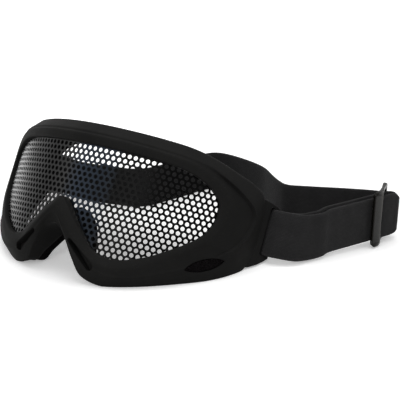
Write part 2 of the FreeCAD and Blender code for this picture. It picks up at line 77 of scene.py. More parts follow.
# Places round the left half of the rim, from the middle of the brow to the nose, as shares of the
# sizes above. LOBE and RIDGE say how much of the temple's step and the nose's ridge a place has,
# EDGE_BACK how far back its edge lies as a share of RIM_BACK.
OPENING = [
    (0.0, 1.0), (0.26, 1.0), (0.495, 1.0), (0.67, 0.978), (0.805, 0.9),
    (0.915, 0.76), (0.982, 0.58), (1.0, 0.395), (0.99, 0.14), (0.945, -0.11),
    (0.865, -0.335), (0.745, -0.58), (0.628, -0.795), (0.48, -0.972), (0.368, -1.0),
    (0.278, -0.9), (0.205, -0.69), (0.128, -0.45), (0.062, -0.23), (0.0, -0.09)]
SHOULDER = [
    (0.0, 0.815), (0.19, 0.815), (0.37, 0.81), (0.506, 0.8), (0.613, 0.765),
    (0.708, 0.683), (0.801, 0.569), (0.884, 0.431), (0.912, 0.26), (0.872, -0.01),
    (0.797, -0.223), (0.69, -0.43), (0.55, -0.65), (0.394, -0.838), (0.275, -0.868),
    (0.192, -0.8), (0.124, -0.64), (0.066, -0.45), (0.027, -0.31), (0.0, -0.27)]
EDGE = [
    (0.0, 0.985), (0.194, 0.985), (0.389, 0.985), (0.537, 0.972), (0.665, 0.912),
    (0.785, 0.828), (0.893, 0.762), (0.981, 0.64), (1.012, 0.22), (0.996, -0.19),
    (0.942, -0.44), (0.804, -0.638), (0.64, -0.768), (0.426, -0.96), (0.285, -1.055),
    (0.17, -0.99), (0.119, -0.805), (0.078, -0.608), (0.045, -0.487), (0.0, -0.425)]
LOBE = [0, 0, 0, 0, 0.1, 0.8, 1, 1, 1, 1, 0.8, 0.3, 0, 0, 0, 0, 0, 0, 0, 0]
RIDGE = [0, 0, 0, 0, 0, 0, 0, 0, 0, 0, 0, 0, 0, 0, 0, 0.1, 0.5, 0.9, 1, 1]
EDGE_BACK = [
    1, 1, 1, 1, 0.95, 0.8, 0.55, 0.3, 0.2, 0.3, 0.55, 0.85, 1, 1, 1, 0.6, -0.4, -1.1, -1.35, -1.4]
FACE = [
    (0.0, 0.508, 1.0), (0.268, 0.546, 1.0), (0.51, 0.631, 0.988), (0.698, 0.738, 0.938),
    (0.819, 0.831, 0.864), (0.913, 0.908, 0.753), (0.966, 0.962, 0.617), (0.993, 0.992, 0.444),
    (1.0, 1.0, 0.2), (0.993, 0.945, -0.05), (0.962, 0.82, -0.26), (0.88, 0.66, -0.48),
    (0.738, 0.475, -0.66), (0.56, 0.305, -0.8), (0.372, 0.185, -0.922), (0.228, 0.16, -0.94),
    (0.166, 0.158, -0.78), (0.107, 0.195, -0.58), (0.052, 0.222, -0.405), (0.0, 0.23, -0.325)]
FRAME_STEPS = 8
CORNER_STEPS, CORNER_SHARE = 2, 0.45

# Ears: columns along the plan, where the slot starts and ends, and tables of a value by arc
EAR_ARCS = (96.0, 99.0, 101.8, 106.2, 110.6, 112.8, 115.0, 118.6)
EAR_SLOT_ARC, EAR_BAR_ARC, EAR_BAR_HALF = 110.6, 115.0, 1.8
EAR_MIDDLE = 9.0
EAR_SLOT_HALF = 12.8
EAR_FRONT, EAR_THICKNESS, EAR_ROUND = 0.8, 3.0, 0.95
EAR_RUB = 0.3
EAR_SUNK = ((102.0, 2.4), (106.4, 1.7), (109.2, 0.5), (110.6, 0.0))
EAR_TOP = ((96.0, 23.0), (101.8, 24.0), (106.2, 24.6), (110.6, 23.8), (116.6, 23.2), (118.6, 22.0))
EAR_BOTTOM = ((96.0, -12.0), (101.8, -12.8), (106.2, -12.0), (110.6, -9.4), (116.6, -6.2), (118.6, -4.6))

# Vents and nose slots; each end of a cut is a depth or height, and how much wider than the vent it is there
VENT_ARC, VENT_HEIGHT, VENT_TILT = 78.5, -17.2, radians(26.0)
VENT_HALF_LENGTH, VENT_HALF_WIDTH, VENT_POINTED = 11.0, 3.0, 0.5
VENT_CUT = ((-9, 0.4), (12, -0.2))
SCOOP_CENTRE, SCOOP_DEPTH, SCOOP_ALONG, SCOOP_ACROSS = (2.0, 1.2), 1.1, 15.5, 5.6
SCOOP_NEAREST, SCOOP_FURTHEST, SCOOP_STEEPNESS = -6, 8, 1.6
BROW_X, BROW_Y, BROW_TURN = 33.0, 19.0, radians(19.0)
BROW_HALF_LENGTH, BROW_HALF_WIDTH = 13.0, 3.4
BROW_CUT = ((48, 0.8), (30, -0.2))
BROW_FOAM_Z = 36.6

# Nose slot: x and z of an end, how far back, and the radius there
NOSE_SLOT = (((23.2, -32.9), -9, 3.4), ((23.2, -32.9), 5.0, 2.0),
             ((12.1, -23.2), -9, 1.6), ((12.1, -23.2), 0.6, 0.7))

# Perforated sheet
HOLE_PITCH = 3.2
HOLE_RADIUS, HOLE_SIDES = 1.13, 12
HOLE_ROWS, HOLE_COLUMNS = 12, 28
SHEET_PLAY, SHEET_STEPS = 0.4, 4
SLIVER = 0.2
CELL_MERGE, EDGE_MERGE = 0.01, 0.02

# Foam ring: where it sits on the flange, its heights, its top from one place to another, its corner radii
RING_INSET, RING_LIFT, RING_WIDTH = 0.8, 0.15, 6.5
RING_HEIGHT, RING_OUTER_HEIGHT, RING_INNER_HEIGHT = 7.0, 5.8, 5.4
RING_TOP_FROM, RING_TOP_TO, RING_SLANT = 1.3, 5.0, 0.1
RING_RADII = (0.3, 0.3, 1.6, 1.4, 1.4, 1.4)

# Vent foams: half length, half width, how pointed and how far sunk below the skin
LOWER_FOAM = (VENT_HALF_LENGTH * 1.01, VENT_HALF_WIDTH * 1.03, VENT_POINTED, 0.3)
BROW_FOAM = (BROW_HALF_LENGTH * 0.94, BROW_HALF_WIDTH * 0.93, 0.0, 0.5)
PLUG_SIDES, PLUG_RINGS, PLUG_DEPTH, PLUG_CROWN = 40, 4, 2.4, 0.5
SKIN_SEARCH = 14.0

# Strap: a row of a route is the lower edge's x, y and z on the table, and 0 for upright to 1 for leant
STRAP_WIDTH, STRAP_THICKNESS, SELVEDGE = 25.0, 1.5, 1.3
LAYER_OFFSET, SEAM_GAP = 2.0, 0.05
WRAP_GAP = 0.5
TAIL = 3.2
NEAR_ROUTE = [
    (88.5, 57.1, 3.0, 0.95), (94.0, 59.4, 2.4, 0.72), (98.0, 63.4, 1.4, 0.55),
    (102.4, 70.8, 1.0, 0.25), (105.6, 76.8, 1.4, 0.05), (107.4, 82.2, 2.2, 0.0)]
STRAIGHT_END = (126.05, 116.8, 3.4, 0.0)
FOLD_ROUTE = [
    (129.8, 119.6, 3.4, 0.0), (131.1, 122.2, 3.0, 0.0), (130.0, 125.2, 2.4, 0.0),
    (125.6, 126.8, 1.4, 0.0), (119.8, 126.6, 0.4, 0.0)]
FAR_ROUTE = [
    (111.0, 124.8, 0.1, 0.0), (97.8, 119.8, 0.05, 0.0), (80.0, 112.2, 0.05, 0.0),
    (70.0, 108.8, 0.05, 0.0), (63.0, 111.8, 0.05, 0.0), (54.0, 119.5, 0.05, 0.0),
    (44.5, 128.5, 0.05, 0.0), (34.6, 134.1, 0.05, 0.0), (22.0, 138.5, 0.05, 0.0),
    (9.5, 141.0, 0.05, 0.0), (1.5, 139.2, 0.05, 0.0), (-3.5, 131.0, 0.05, 0.0),
    (-6.8, 119.0, 0.05, 0.0), (-11.5, 104.0, 0.05, 0.0), (-15.8, 91.5, 0.05, 0.0),
    (-23.0, 84.2, 0.1, 0.0), (-34.0, 80.8, 0.3, 0.0), (-45.0, 77.8, 0.6, 0.0),
    (-55.5, 76.2, 0.8, 0.0), (-65.5, 77.5, 0.8, 0.0)]
SEAM_ROUTE = [(-74.0, 78.2, 0.8, 0.12), (-80.0, 75.2, 0.9, 0.4), (-83.2, 70.0, 1.1, 0.75)]
STRAP_STEPS, RUN_STEPS, LOOP_STEPS = 5, 3, 10
NEAR_LOOP_TURN, FAR_LOOP_TURN = (400, 140), (-50, -310)
FOLD_PULL, FOLD_REACH, FOLD_SHARE = 2.8, 3.0, 0.6

# Profile of the band: share of the width and share of half the thickness, round the edge
BAND_PROFILE = [(0.0, 0.0), (0.006, 0.62), (0.03, 0.95), (0.25, 1.0), (0.5, 1.0), (0.75, 1.0), (0.97, 0.95),
                (0.994, 0.62), (1.0, 0.0), (0.994, -0.62), (0.97, -0.95), (0.75, -1.0), (0.5, -1.0),
                (0.25, -1.0), (0.03, -0.95), (0.006, -0.62)]

# Stitches of the sewn end, over a stretch of x behind the ear
SEAM_FROM, SEAM_TO, SEAM_BEHIND = -82.0, -72.0, 60.0
STITCH_ROWS, STITCHES, STITCH_PITCH = 5, 9, 2.5
STITCH_SIZE = (0.28, 0.22, 0.9)

# Slider
SLIDER_HEIGHT, SLIDER_BAR, SLIDER_THICKNESS, SLIDER_RAIL = 32.0, 2.4, 1.6, 2.4
SLIDER_PITCH, SLIDER_OFFSET, SLIDER_GAP, SLIDER_PLACE = 5.4, 4.1, 0.4, 37.0
SLIDER_LIP, SLIDER_SWELL = 4.0, 0.9
# The last value is how far the painted glint stripe reaches either side of the slider's bend.
SLIDER_CORNER, SLIDER_EDGE, SLIDER_GLINT_REACH = 2.2, 0.6, 0.4

# Studio, in metres: how much the floor lights the object, and where it starts and ends turning white
FLOOR_SIZE, FLOOR_DROP, FLOOR_BOUNCE = 4.0, 0.0003, 0.42
FLOOR_GLOW, WHITE_FROM, WHITE_FULL = 0.3, 0.10, 0.34
WORLD_LIGHT = 0.4

# Lamps: name, place, the point it faces, size and watts
LAMPS = (("top_lamp", (0.0, 0.05, 0.85), (0, 0, 0.02), 0.7, 3.4),
         ("front_lamp", (0.15, -0.9, 0.55), (0, 0, 0.03), 0.5, 2.6),
         ("side_lamp", (0.9, 0.1, 0.5), (0.05, 0, 0.03), 0.4, 0.9))

# Camera: where the photograph was taken from
CAMERA_PLACE = (0.241221, -0.356052, 0.182732)
CAMERA_TURN = (radians(69.331), 0.0, radians(32.315))
CAMERA_LENS = 73.208


# Shape helpers

def plan(arc, back=0.0):
    """Point on the lens plan at a distance along it, moved back square to it, and its heading."""
    side = 1.0 if arc >= 0 else -1.0
    left, heading, x, y = abs(arc), 0.0, 0.0, 0.0
    for radius, length in PLAN_ARCS:
        turned = heading + min(left, length) / radius
        x += radius * (sin(turned) - sin(heading))
        y += radius * (cos(heading) - cos(turned))
        left -= min(left, length)
        heading = turned
    x += left * cos(heading)
    y += left * sin(heading)
    return side * (x - back * sin(heading)), y + back * cos(heading), side * heading


def wrapped(arc, up, back):
    """Point on or behind the lens surface, in the goggles' own axes."""
    x, y, _ = plan(arc, back)
    return Vector((x, y, up))


def leant(point):
    """Goggle point in millimetres, leant back over the table."""
    return Vector((point.x, point.y * cos(LEAN) + point.z * sin(LEAN),
                   LENS_HEIGHT - point.y * sin(LEAN) + point.z * cos(LEAN)))


def in_metres(point):
    """Table point in millimetres, centred and in metres."""
    return (point + SHIFT) * 0.001


def place(point):
    """Goggle point in millimetres, put on the table in metres."""
    return in_metres(leant(point))


def blend(rows, t):
    """Point at share t between the middle two of four rows, on a smooth curve through them."""
    return tuple(
        0.5 * (2 * q + (r - p) * t + (2 * p - 5 * q + 4 * r - s) * t * t + (3 * q - p - 3 * r + s) * t ** 3)
        for p, q, r, s in zip(*rows))


def closed_run(rows, steps):
    """Smooth rows through a closed list of rows."""
    count = len(rows)
    return [blend([rows[(i + k - 1) % count] for k in range(4)], step / steps)
            for i in range(count) for step in range(steps)]


def open_run(rows, steps):
    """Smooth rows through an open list of rows, ends kept."""
    first = tuple(2 * p - q for p, q in zip(rows[0], rows[1]))
    last = tuple(2 * p - q for p, q in zip(rows[-1], rows[-2]))
    padded = [first] + list(rows) + [last]
    out = [blend(padded[i:i + 4], k / steps) for i in range(len(rows) - 1) for k in range(steps)]
    return out + [tuple(rows[-1])]


def softened(corners, radii):
    """A closed outline with each corner rounded off by its own radius."""
    points, count = [], len(corners)
    for i, (corner, radius) in enumerate(zip(corners, radii)):
        before, after = corners[i - 1], corners[(i + 1) % count]
        start = corner.lerp(before, min(CORNER_SHARE, radius / (before - corner).length))
        end = corner.lerp(after, min(CORNER_SHARE, radius / (after - corner).length))
        for k in range(CORNER_STEPS + 1):
            t = k / CORNER_STEPS
            points.append(start * (1 - t) ** 2 + corner * (2 * t * (1 - t)) + end * t * t)
    return points


def sweep(bm, sections, closed=False):
    """Grow a tube from a ring of vertices through every section; returns the rings in order."""
    ring = [bm.verts.new(p) for p in sections[0]]
    edges = [bm.edges.new(pair) for pair in zip(ring, ring[1:] + ring[:1])]
    rings = [ring]
    for section in sections[1:] + (sections[:1] if closed else []):
        grown = bmesh.ops.extrude_edge_only(bm, edges=edges)["geom"]
        fresh = {v for v in grown if isinstance(v, bmesh.types.BMVert)}
        follow = []
        for old, point in zip(ring, section):
            new = next(e.other_vert(old) for e in old.link_edges if e.other_vert(old) in fresh)
            new.co = point
            follow.append(new)
        ring = follow
        edges = [bm.edges.get(pair) for pair in zip(ring, ring[1:] + ring[:1])]
        rings.append(ring)
    if closed:
        rings.pop()
    else:
        bmesh.ops.holes_fill(bm, edges=[e for e in bm.edges if e.is_boundary])
    return rings


def even_normals(bm):
    bmesh.ops.recalc_face_normals(bm, faces=bm.faces[:])


def faces_outward(bm):
    """Turn the faces of closed pieces outward; a volume below zero shows that they all point inward."""
    even_normals(bm)
    if bm.calc_volume(signed=True) < 0:
        bmesh.ops.reverse_faces(bm, faces=bm.faces[:])


def merged_outward(bm, distance=1e-7):
    """Merge doubled vertices, then turn the faces outward."""
    bmesh.ops.remove_doubles(bm, verts=bm.verts[:], dist=distance)
    faces_outward(bm)


def trimmed_flat(bm):
    """Cut a closed piece off flat where it would reach through the table."""
    bmesh.ops.bisect_plane(bm, geom=bm.verts[:] + bm.edges[:] + bm.faces[:], clear_inner=True,
                           plane_co=(0, 0, TABLE_GAP * 0.001), plane_no=(0, 0, 1))
    bmesh.ops.holes_fill(bm, edges=[e for e in bm.edges if e.is_boundary])
    faces_outward(bm)


def sharp_edges(bm):
    return [e for e in bm.edges if e.is_manifold and e.calc_face_angle() > radians(50)]


def rounded(bm, edges, radius, segments=3, clamp_overlap=False):
    """Round some edges off by a radius."""
    bmesh.ops.bevel(bm, geom=edges, offset=radius, offset_type="OFFSET", segments=segments, profile=0.5,
                    affect="EDGES", material=-1, clamp_overlap=clamp_overlap)


def in_scene(name, data):
    """A new object in the scene."""
    obj = bpy.data.objects.new(name, data)
    bpy.context.scene.collection.objects.link(obj)
    return obj


def mesh_object(bm, name):
    """A new object with the shape of a bmesh, which ends there."""
    mesh = bpy.data.meshes.new(name)
    bm.to_mesh(mesh)
    bm.free()
    return in_scene(name, mesh)


def as_piece(bm, name, material, sharp_deg=38.0):
    """Finish a bmesh as a piece with smooth faces between its sharp edges."""
    obj = mesh_object(bm, name)
    for face in obj.data.polygons:
        face.use_smooth = True
    obj.data.set_sharp_from_angle(angle=radians(sharp_deg))
    obj.data.materials.append(material)
    return obj


def cut_away(obj, cutters):
    """Cut closed cutter meshes out of a piece and keep the result as its mesh."""
    for cutter in cutters:
        change = obj.modifiers.new("cut", "BOOLEAN")
        change.operation = "DIFFERENCE"
        change.solver = "EXACT"
        change.object = cutter
    shaped = obj.evaluated_get(bpy.context.evaluated_depsgraph_get())
    mesh = bpy.data.meshes.new_from_object(shaped)
    obj.modifiers.clear()
    obj.data = mesh
    for cutter in cutters:
        bpy.data.objects.remove(cutter)


# Material helpers

def add(tree, kind, **settings):
    """A new node with some of its settings."""
    node = tree.nodes.new(kind)
    for name, value in settings.items():
        setattr(node, name, value)
    return node


def fill(node, **values):
    """Set a node's inputs by name, with _ for a space."""
    for name, value in values.items():
        node.inputs[name.replace("_", " ")].default_value = value
    return node


def drive(tree, node, **sources):
    """Link outputs to a node's inputs by name, with _ for a space."""
    for name, source in sources.items():
        tree.links.new(source, node.inputs[name.replace("_", " ")])


def new_material(name):
    """A material, its node tree and its shader."""
    material = bpy.data.materials.new(name)
    material.use_nodes = True
    return material, material.node_tree, material.node_tree.nodes["Principled BSDF"]


def ramp(tree, source, stops):
    """Colour ramp with grey or colour stops on a value."""
    node = add(tree, "ShaderNodeValToRGB")
    elements = node.color_ramp.elements
    for element, stop in zip(elements, (stops[0], stops[-1])):
        element.position, element.color = stop
    for position, colour in stops[1:-1]:
        elements.new(position).color = colour
    drive(tree, node, Fac=source)
    return node.outputs["Color"]


def grey(value):
    return (value, value, value, 1.0)


def noise(tree, where, scale, detail=2.0, roughness=0.5):
    """Noise at some coordinates, as a value."""
    node = fill(add(tree, "ShaderNodeTexNoise"), Scale=scale, Detail=detail, Roughness=roughness)
    drive(tree, node, Vector=where)
    return node.outputs["Fac"]


def math_node(tree, operation, a, b):
    """Result of one sum on numbers or outputs."""
    node = add(tree, "ShaderNodeMath", operation=operation)
    for socket, value in zip(node.inputs, (a, b)):
        if isinstance(value, (int, float)):
            socket.default_value = value
        else:
            tree.links.new(value, socket)
    return node.outputs[0]


def plus(tree, a, b):
    return math_node(tree, "ADD", a, b)


def minus(tree, a, b):
    return math_node(tree, "SUBTRACT", a, b)


def times(tree, a, b):
    return math_node(tree, "MULTIPLY", a, b)


def seen_directly(tree):
    """1 for rays from the camera, mirrored rays and rays let through, 0 for light on the object."""
    seen = add(tree, "ShaderNodeLightPath")
    either = math_node(tree, "MAXIMUM", seen.outputs["Is Camera Ray"], seen.outputs["Is Glossy Ray"])
    return math_node(tree, "MAXIMUM", either, seen.outputs["Is Transmission Ray"])


def bump(tree, height, strength, distance, below=None):
    """Normal of a bump, laid over the one below it."""
    node = fill(add(tree, "ShaderNodeBump"), Strength=strength, Distance=distance)
    drive(tree, node, Height=height)
    if below is not None:
        drive(tree, node, Normal=below)
    return node.outputs["Normal"]


def handling_marks_group():
    """Soft patches and fine scuffs that every hard finish here shares, as two masks."""
    group = bpy.data.node_groups.new("handling_marks", "ShaderNodeTree")
    group.interface.new_socket("Place", in_out="INPUT", socket_type="NodeSocketVector")
    group.interface.new_socket("Patches", in_out="OUTPUT", socket_type="NodeSocketFloat")
    group.interface.new_socket("Scuffs", in_out="OUTPUT", socket_type="NodeSocketFloat")
    start, end = group.nodes.new("NodeGroupInput"), group.nodes.new("NodeGroupOutput")
    patches = noise(group, start.outputs["Place"], 45.0, 3.0, 0.55)
    stretched = fill(add(group, "ShaderNodeMapping"), Scale=(1.0, 0.25, 2.2))
    drive(group, stretched, Vector=start.outputs["Place"])
    scuffs = ramp(group, noise(group, stretched.outputs["Vector"], 900.0, 4.0, 0.7),
                  [(0.58, grey(0.0)), (0.74, grey(1.0))])
    drive(group, end, Patches=patches, Scuffs=scuffs)
    return group


MARKS = handling_marks_group()


def own_place(tree):
    """The piece's own coordinates."""
    return add(tree, "ShaderNodeTexCoord").outputs["Object"]


def painted(tree, name):
    """A value that a piece carries on its vertices or faces."""
    return add(tree, "ShaderNodeAttribute", attribute_name=name).outputs["Fac"]


def marks(tree):
    """The shared marks in a material, on the piece's own coordinates."""
    where = own_place(tree)
    node = add(tree, "ShaderNodeGroup", node_tree=MARKS)
    drive(tree, node, Place=where)
    return where, node.outputs["Patches"], node.outputs["Scuffs"]


def moulded_rubber():
    """Matt black moulding with a fine grain. Scuffs along the rim's crests and edges turn it greyer: partly
    real wear, partly a painted highlight on the bevel.
    """
    material, tree, shader = new_material("moulded_rubber")
    where, patches, scuffs = marks(tree)
    # Wear and painted highlight: the corners' shares along the crests, broken up by the scuffs, lighten the
    # colour.
    wear_and_highlight_mask = times(tree, painted(tree, "wear_and_highlight"), scuffs)
    tone = plus(tree, times(tree, patches, 0.55), times(tree, wear_and_highlight_mask, 0.5))
    colour = ramp(tree, tone, [(0.15, (0.0096, 0.0096, 0.0094, 1)), (0.45, (0.0142, 0.0140, 0.0135, 1)),
                               (0.95, (0.030, 0.030, 0.029, 1))])
    rough = ramp(tree, tone, [(0.15, grey(0.62)), (0.7, grey(0.5))])
    fill(shader, Specular_IOR_Level=0.035)
    fine = bump(tree, noise(tree, where, 2400.0, 3.0, 0.6), 0.35, 0.00012)
    soft = bump(tree, noise(tree, where, 260.0, 2.0, 0.5), 0.12, 0.0004, fine)
    drive(tree, shader, Base_Color=colour, Roughness=rough, Normal=soft)
    return material


def perforated_steel():
    """Blackened steel sheet whose colour is a painted reflection set by the view angle: a blue cast face on,
    paler where the view skims along it, and its hole walls painted near black as shade.
    """
    material, tree, shader = new_material("perforated_steel")
    where, patches, scuffs = marks(tree)
    facing = fill(add(tree, "ShaderNodeLayerWeight"), Blend=0.5).outputs["Facing"]
    walls = painted(tree, "hole_wall")
    sheet = minus(tree, 1.0, walls)
    facing = times(tree, facing, sheet)
    # Painted reflection: colour by view angle, blue face on and brighter at grazing angles; the hole walls
    # take the darkest stop as painted shade.
    painted_reflection = ramp(tree, facing, [
        (0.05, grey(0.004)), (0.12, (0.024, 0.030, 0.040, 1)), (0.20, (0.034, 0.042, 0.056, 1)),
        (0.28, grey(0.045)), (0.44, grey(0.024)), (0.58, grey(0.018)), (0.70, grey(0.022)),
        (0.78, grey(0.05))])
    dulled = add(tree, "ShaderNodeMix", data_type="RGBA", blend_type="MULTIPLY")
    dulled.inputs["Factor"].default_value = 0.5
    tree.links.new(painted_reflection, dulled.inputs[6])
    tree.links.new(ramp(tree, patches, [(0.3, grey(0.72)), (0.7, grey(1.0))]), dulled.inputs[7])
    fill(shader, Specular_IOR_Level=0.1)
    sheen = ramp(tree, scuffs, [(0.0, grey(0.26)), (1.0, grey(0.42))])
    rough = math_node(tree, "MAXIMUM", sheen, times(tree, walls, 0.9))
    drive(tree, shader, Base_Color=dulled.outputs[2], Metallic=sheet, Roughness=rough,
          Normal=bump(tree, noise(tree, where, 1500.0, 2.0, 0.5), 0.10, 0.00005))
    return material


def open_foam():
    """Open-cell foam: round pores of mixed size, with painted shade darkening the inside of each pore."""
    material, tree, shader = new_material("open_foam")
    where = own_place(tree)
    cells = fill(add(tree, "ShaderNodeTexVoronoi", feature="DISTANCE_TO_EDGE"), Scale=1150.0)
    drive(tree, cells, Vector=where)
    walls = cells.outputs["Distance"]
    broad = noise(tree, where, 320.0, 3.0, 0.6)
    depth = plus(tree, times(tree, walls, 2.4), times(tree, broad, 0.35))
    # Painted shade: colour darkens towards the middle of each pore, with a random broad tone over it.
    colour = ramp(tree, depth, [(0.12, (0.014, 0.012, 0.013, 1)), (0.5, (0.0042, 0.0034, 0.0038, 1)),
                                (0.95, (0.0012, 0.0010, 0.0011, 1))])
    fill(shader, Roughness=0.95, Specular_IOR_Level=0.03)
    drive(tree, shader, Base_Color=colour, Normal=bump(tree, minus(tree, 1.0, depth), 0.9, 0.0007))
    return material


def elastic_webbing():
    """Knitted elastic: ribs along its length, crossed by picks, with a firmer selvedge at each edge."""
    material, tree, shader = new_material("elastic_webbing")
    uv = add(tree, "ShaderNodeTexCoord").outputs["UV"]
    weave = fill(add(tree, "ShaderNodeTexBrick", offset=0.5), Scale=1000.0, Mortar_Size=0.16,
                 Mortar_Smooth=0.9, Brick_Width=1.3, Row_Height=0.78,
                 Color1=grey(1.0), Color2=grey(0.78), Mortar=grey(0.0))
    drive(tree, weave, Vector=uv)
    split = add(tree, "ShaderNodeSeparateXYZ")
    drive(tree, split, Vector=uv)
    half_width = STRAP_WIDTH * 0.0005
    from_middle = math_node(tree, "ABSOLUTE", minus(tree, split.outputs["Y"], half_width), 0.0)
    edge = math_node(tree, "GREATER_THAN", from_middle, half_width - SELVEDGE * 0.001)
    fuzz = noise(tree, uv, 2600.0, 3.0, 0.7)
    broad = noise(tree, uv, 130.0, 3.0, 0.5)
    threads = times(tree, weave.outputs["Color"], plus(tree, fuzz, 0.35))
    tone = plus(tree, times(tree, threads, 0.5), times(tree, broad, 0.35))
    tone = plus(tree, tone, times(tree, edge, 0.12))
    colour = ramp(tree, tone, [(0.1, (0.0055, 0.0055, 0.0057, 1)), (0.5, (0.0145, 0.0142, 0.0148, 1)),
                               (0.95, (0.034, 0.033, 0.034, 1))])
    fill(shader, Roughness=0.9, Specular_IOR_Level=0.2, Sheen_Weight=0.05, Sheen_Roughness=0.5)
    picks = bump(tree, threads, 0.6, 0.00022)
    drive(tree, shader, Base_Color=colour, Normal=bump(tree, broad, 0.25, 0.0012, picks))
    return material


def sewing_thread():
    """Twisted black thread."""
    material, tree, shader = new_material("sewing_thread")
    twist = fill(add(tree, "ShaderNodeTexWave", wave_type="BANDS", bands_direction="DIAGONAL"),
                 Scale=900.0, Distortion=1.0)
    drive(tree, twist, Vector=own_place(tree))
    turns = twist.outputs["Fac"]
    fill(shader, Roughness=0.7)
    drive(tree, shader, Base_Color=ramp(tree, turns, [(0.0, grey(0.010)), (1.0, grey(0.05))]),
          Normal=bump(tree, turns, 0.5, 0.0001))
    return material


def lacquered_metal():
    """Black lacquer over steel with scuffs, and a painted glint: a lighter, more metallic stripe along the
    bend of the near bar.
    """
    material, tree, shader = new_material("lacquered_metal")
    where, patches, scuffs = marks(tree)
    # Painted glint: the stripe on the vertices at the bend, made patchy, with the real scuffs on top.
    wear_and_highlight_mask = times(tree, math_node(tree, "POWER", painted(tree, "wear_and_highlight"), 2.5), plus(tree, patches, 0.25))
    tone = math_node(tree, "MAXIMUM", times(tree, scuffs, patches), wear_and_highlight_mask)
    colour = ramp(tree, tone, [(0.25, (0.006, 0.0056, 0.0044, 1)), (0.65, (0.024, 0.022, 0.018, 1))])
    fill(shader, Specular_IOR_Level=0.1)
    drive(tree, shader, Base_Color=colour,
          Metallic=ramp(tree, tone, [(0.25, grey(0.0)), (0.65, grey(0.4))]),
          Roughness=ramp(tree, patches, [(0.3, grey(0.22)), (0.7, grey(0.34))]),
          Normal=bump(tree, noise(tree, where, 700.0, 2.0, 0.5), 0.12, 0.0001))
    return material


# Frame

def rim_places(steps):
    """Every place round the rim: opening, shoulder, edge and flange points, then its three shares."""
    rows = []
    for o, s, e, f, *shares in zip(OPENING, SHOULDER, EDGE, FACE, LOBE, RIDGE, EDGE_BACK):
        rows.append((o[0] * OPENING_ARC, o[1] * OPENING_UP, s[0] * RIM_ARC, s[1] * RIM_UP,
                     e[0] * RIM_ARC, e[1] * RIM_UP, f[0] * FACE_X, f[1] * FACE_Y, f[2] * FACE_Z, *shares))
    other = [(-r[0], r[1], -r[2], r[3], -r[4], r[5], -r[6]) + r[7:] for r in rows[-2:0:-1]]
    return closed_run(rows + other, steps)


def flange_inward(row):
    """Direction from the flange's outer edge to its inner edge, square to the face run."""
    way = wrapped(row[0], row[1], 0) - wrapped(row[2], row[3], 0)
    way.y = 0
    way.normalize()
    way.y = way.x * row[6] / FACE_X
    return way.normalized()


def rim_outline(row):
    """One closed outline of the moulding: each corner's point, its radius and its share of wear and painted
    highlight.
    """
    o_arc, o_up, s_arc, s_up, e_arc, e_up, fx, fy, fz, lobe, ridge, edge_back = row
    reach = hypot(s_arc - o_arc, s_up - o_up)
    along, up = (s_arc - o_arc) / reach, (s_up - o_up) / reach

    def at(out, back):
        return wrapped(o_arc + along * out, o_up + up * out, back)

    rise = RIM_FRONT + ridge * RIDGE_RISE
    flange, way, back = Vector((fx, fy, fz)), flange_inward(row), Vector((0, 1, 0))
    inner = flange + way * FLANGE_WIDTH
    neck = flange + way * (FLANGE_WIDTH - WALL) - back * WALL
    rim = hypot(e_arc - o_arc, e_up - o_up)
    deep = min(1.0, max(0.0, (neck.y - at(rim, RIM_BACK).y) / FULL_HOLLOW))
    hollow = (rim - 2 * WALL) * (1 + deep) / 2
    low = RIM_FRONT + ridge * (RIDGE_RISE + RIDGE_SWELL - RIDGE_FOOT)
    outside = wrapped(e_arc, e_up, RIM_BACK * edge_back)
    step_top = wrapped(s_arc + along * LOBE_STEP_RUN, s_up + up * LOBE_STEP_RUN,
                       -low + LOBE_STEP * (1 - lobe * 0.1 - ridge))
    crease = CREASE_TIGHT + CREASE_SOFTER * (1 - min(1.0, lobe * 1.5))
    step_foot = wrapped(s_arc, s_up, -low + LOBE_STEP * (1 + lobe * 1.3 - ridge))
    flank = [(outside.lerp(step_top, k / (FLANK_ROWS + 1)), 0.2, 0.3) for k in range(1, FLANK_ROWS + 1)]
    # Third value of each corner: its share of wear and painted highlight, highest on the band's crest and the
    # outer edge.
    return [
        (at(0, -HALF_GROOVE), 0.2, 0), (at(GROOVE_DEPTH, -HALF_GROOVE), 0.1, 0),
        (at(GROOVE_DEPTH, HALF_GROOVE), 0.1, 0), (at(0, HALF_GROOVE), 0.2, 0),
        (at(LIP_ROUND, HALF_GROOVE + REAR_LIP), 0.5, 0), (at(hollow, RIM_BACK), 1.5, 0),
        (neck, 1.5, 0), (inner - back * WALL / 2, 0.6, 0), (inner, 0.6, 0), (flange, 0.9, 0.3),
        (flange - back * WALL, 0.9, 0.3), (outside, 2.2, 0.8)] + flank + [
        (step_top, crease, 0.5), (step_foot, crease, 0.1),
        (at(BAND_WIDTH, -rise - ridge * RIDGE_SWELL), 1.2 + ridge, 1.0),
        (at(LIP_ROUND, -rise + LIP_ROUND), 0.5, 0.4), (at(0, -rise + 2 * LIP_ROUND), 0.3, 0)]


def tapered_plug(ends):
    """Closed cutter round a few discs, each given as the points of its outline."""
    bm = bmesh.new()
    for outline in ends:
        for point in outline:
            bm.verts.new(place(point))
    bmesh.ops.convex_hull(bm, input=bm.verts[:])
    merged_outward(bm)
    return mesh_object(bm, "plug")


def oval_points(half_length, half_width, sides=40, pointed=0.0):
    """Outline of an oval; pointed draws its two ends out like an almond's."""
    turns = [2 * pi * k / sides for k in range(sides)]
    return [(half_length * cos(turn), half_width * sin(turn) * abs(sin(turn)) ** pointed)
            for turn in turns]


